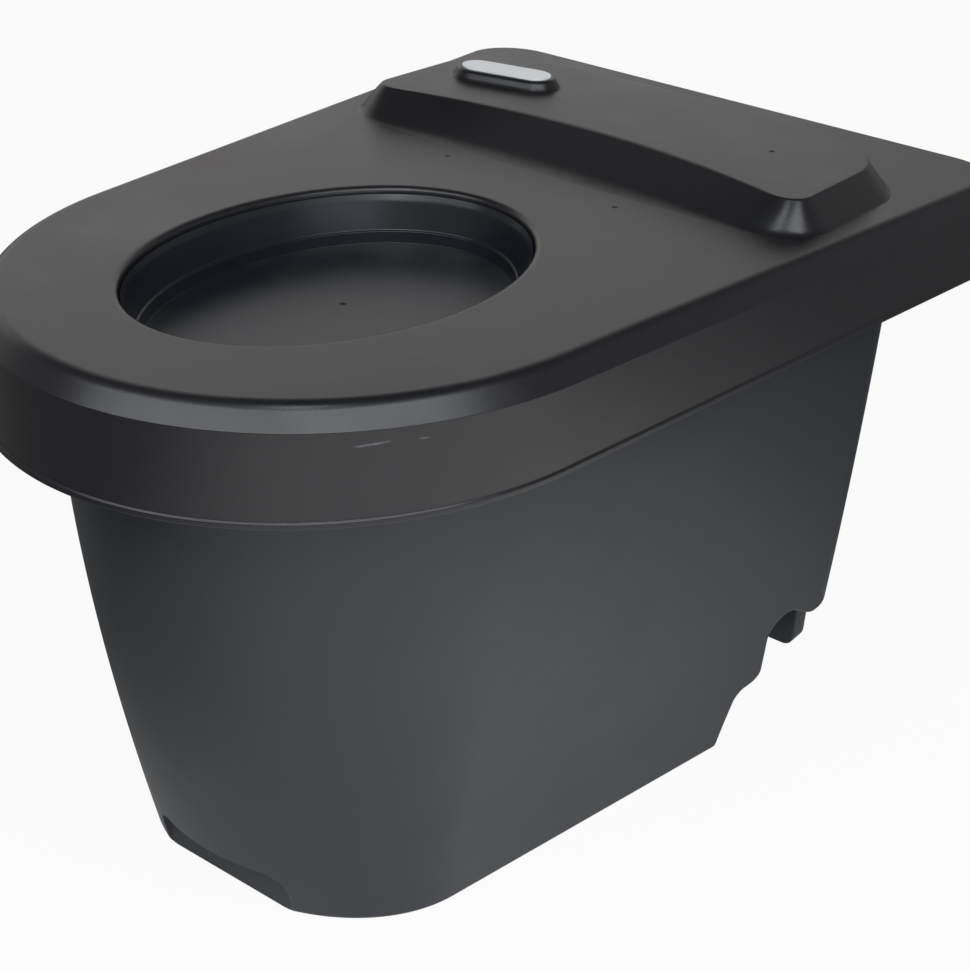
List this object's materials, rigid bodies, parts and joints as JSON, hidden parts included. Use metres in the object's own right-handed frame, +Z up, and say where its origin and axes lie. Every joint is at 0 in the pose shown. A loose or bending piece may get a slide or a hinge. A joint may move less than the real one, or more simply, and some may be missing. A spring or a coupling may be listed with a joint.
{
  "type": "composting toilet",
  "caption": "Composting toilet body: skirted deck with an oval opening and lift-out dished plug, raised rear platform, tapered tub, lift-out bin, drain and vent outlets.",
  "frame": {"origin": "on the floor, below the middle of the deck's length and width", "axes": "+Z is up, the round nose points to -Y, +X is to the right seen from the nose"},
  "size_m": [0.525, 0.801, 0.4916],
  "materials": {
    "tub_plastic": "satin moulded polyethylene",
    "deck_plastic": "satin moulded polyethylene",
    "plug_plastic": "satin moulded polyethylene",
    "badge_white": "glossy white",
    "seal_rubber": "matt black",
    "bin_plastic": "satin grey",
    "black_plastic": "satin black",
    "grey_plastic": "satin light grey",
    "screw_steel": "bright",
    "mesh_steel": "woven"
  },
  "bodies": {
    "base": {"tub": "tub_plastic", "deck_seal": "seal_rubber", "drain_grate": "black_plastic", "grate_legs": "grey_plastic", "drain_outlet": "black_plastic", "drain_washer": "seal_rubber", "drain_nut": "black_plastic", "drain_strainer": "mesh_steel", "vent_spigot": "tub_plastic", "vent_gasket": "seal_rubber", "vent_backing_ring": "grey_plastic", "vent_screws": "screw_steel", "vent_mesh": "mesh_steel", "inlet_cover": "tub_plastic", "inlet_gasket": "seal_rubber", "inlet_mesh": "mesh_steel", "inlet_screws": "screw_steel"},
    "deck_unit": {"deck": "deck_plastic", "badge_plate": "badge_white", "drop_chute": "black_plastic", "chute_screws": "screw_steel"},
    "plug_unit": {"opening_plug": "plug_plastic", "plug_seal": "seal_rubber"},
    "bin_unit": {"collection_bin": "bin_plastic"}
  },
  "joints": [
    {"name": "deck_lift", "type": "slide", "parent": "base", "child": "deck_unit", "axis": [0, 0, 1], "range_m": [0, 0.56]},
    {"name": "plug_lift", "type": "slide", "parent": "deck_unit", "child": "plug_unit", "axis": [0, 0, 1], "range_m": [0, 0.12]},
    {"name": "bin_lift", "type": "slide", "parent": "base", "child": "bin_unit", "axis": [0, 0, 1], "range_m": [0, 0.336]}
  ],
  "couplings": [
    {"joint": "bin_lift", "follows": "deck_lift", "ratio": 0.6}
  ]
}
